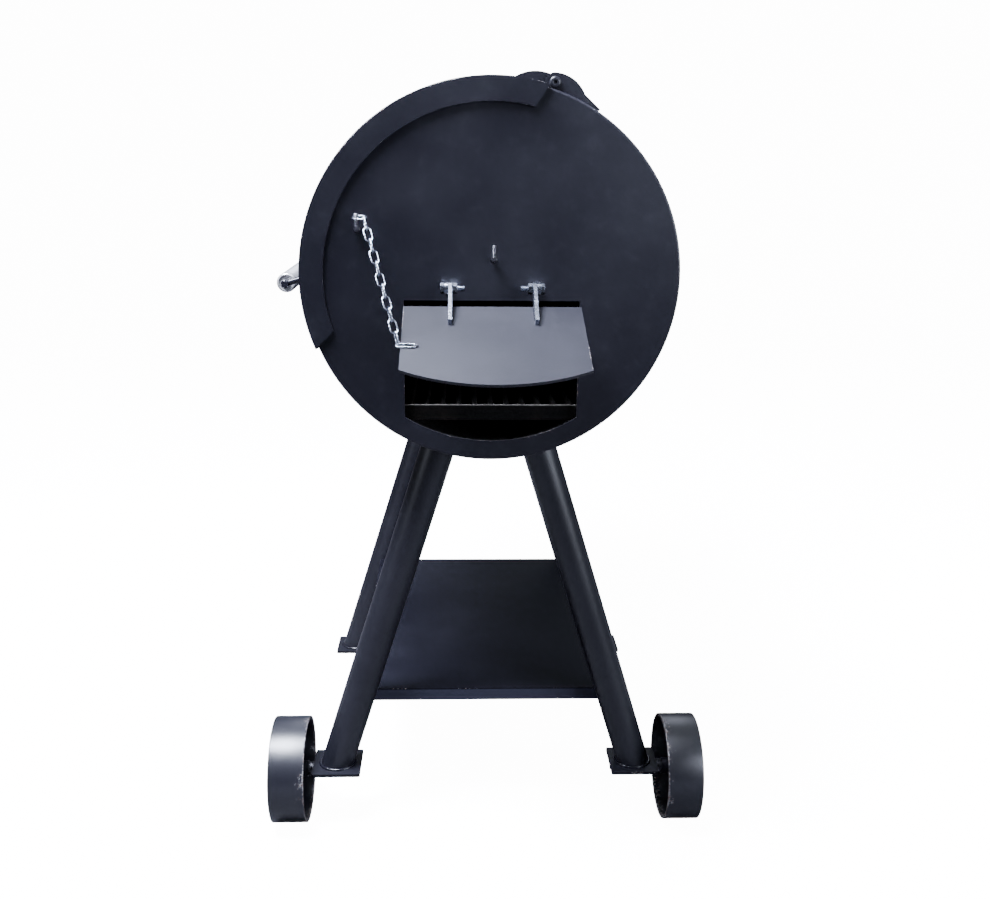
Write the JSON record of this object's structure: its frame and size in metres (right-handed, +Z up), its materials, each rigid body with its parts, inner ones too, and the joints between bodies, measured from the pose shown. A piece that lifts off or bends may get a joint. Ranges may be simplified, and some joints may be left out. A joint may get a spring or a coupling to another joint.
{
  "type": "offset smoker",
  "caption": "Horizontal drum smoker on splayed tube legs with a curved side-opening lid, a hinged air flap held open by a chain, a shelf and two wheels.",
  "frame": {"origin": "centre of the bounding box at floor level, with the air flap at rest in its open position", "axes": "+Z up, -Y towards the fire end with the air flap and the wheels, -X towards the cook and the lid handle"},
  "size_m": [0.674, 1.0858, 1.1428],
  "materials": {
    "black_paint": "satin",
    "zinc": "bright zinc",
    "stainless": "polished",
    "bare_steel": "seasoned",
    "dark_steel": "oiled"
  },
  "bodies": {
    "smoker_body": {"drum_shell": "black_paint", "near_end_plate": "black_paint", "far_end_plate": "black_paint", "near_left_leg": "black_paint", "near_right_leg": "black_paint", "far_left_leg": "black_paint", "far_right_leg": "black_paint", "near_left_foot": "black_paint", "near_right_foot": "black_paint", "far_left_foot": "black_paint", "far_right_foot": "black_paint", "shelf": "black_paint", "axle_left": "dark_steel", "axle_right": "dark_steel", "axle_collars": "dark_steel", "axle_washers": "zinc", "axle_nuts": "zinc", "hinge_lug_near": "black_paint", "hinge_lug_far": "black_paint", "lid_stop_bar": "black_paint", "lid_hinge_bolts": "black_paint", "lid_hinge_nuts": "black_paint", "flap_ears": "zinc", "flap_hinge_bolts": "zinc", "flap_hinge_nuts": "zinc", "chain_peg_upper": "dark_steel", "chain_peg_centre": "dark_steel", "chain_top_link": "zinc", "chain_links": "zinc", "fire_grate": "bare_steel", "fire_grate_rails": "bare_steel", "fire_baffle": "bare_steel", "cooking_grate_left": "bare_steel", "cooking_grate_right": "bare_steel", "cooking_grate_rails": "bare_steel", "vent_bolt": "zinc", "vent_nut": "zinc"},
    "lid": {"lid_shell": "black_paint", "lid_near_flange": "black_paint", "lid_far_flange": "black_paint", "lid_lug_near": "black_paint", "lid_lug_far": "black_paint", "handle_bar": "black_paint", "handle_standoffs": "black_paint", "handle_grip": "stainless"},
    "flap": {"intake_flap": "black_paint", "flap_arms": "zinc", "chain_end_link": "zinc"},
    "wheel_left": {"wheel_left_ring": "black_paint", "wheel_left_disc": "black_paint", "wheel_left_hub": "black_paint"},
    "wheel_right": {"wheel_right_ring": "black_paint", "wheel_right_disc": "black_paint", "wheel_right_hub": "black_paint"},
    "vent": {"vent_disc": "black_paint", "vent_knob": "black_paint"}
  },
  "joints": [
    {"name": "lid_hinge", "type": "hinge", "parent": "smoker_body", "child": "lid", "pos_m": [0.0795, -0.33252, 1.1283], "axis": [0, 1, 0], "range_deg": [0, 125]},
    {"name": "flap_hinge", "type": "hinge", "parent": "smoker_body", "child": "flap", "pos_m": [0, -0.34952, 0.865], "axis": [-1, 0, 0], "range_deg": [-69.4, 20.6], "deforming": ["chain_links"]},
    {"name": "wheel_left_spin", "type": "hinge", "parent": "smoker_body", "child": "wheel_left", "pos_m": [-0.3095, -0.23252, 0.0825], "axis": [1, 0, 0], "continuous": true},
    {"name": "wheel_right_spin", "type": "hinge", "parent": "smoker_body", "child": "wheel_right", "pos_m": [0.3095, -0.23252, 0.0825], "axis": [1, 0, 0], "continuous": true},
    {"name": "vent_swing", "type": "hinge", "parent": "smoker_body", "child": "vent", "pos_m": [0.062, 0.51748, 1.008], "axis": [0, -1, 0], "range_deg": [0, 95]}
  ]
}
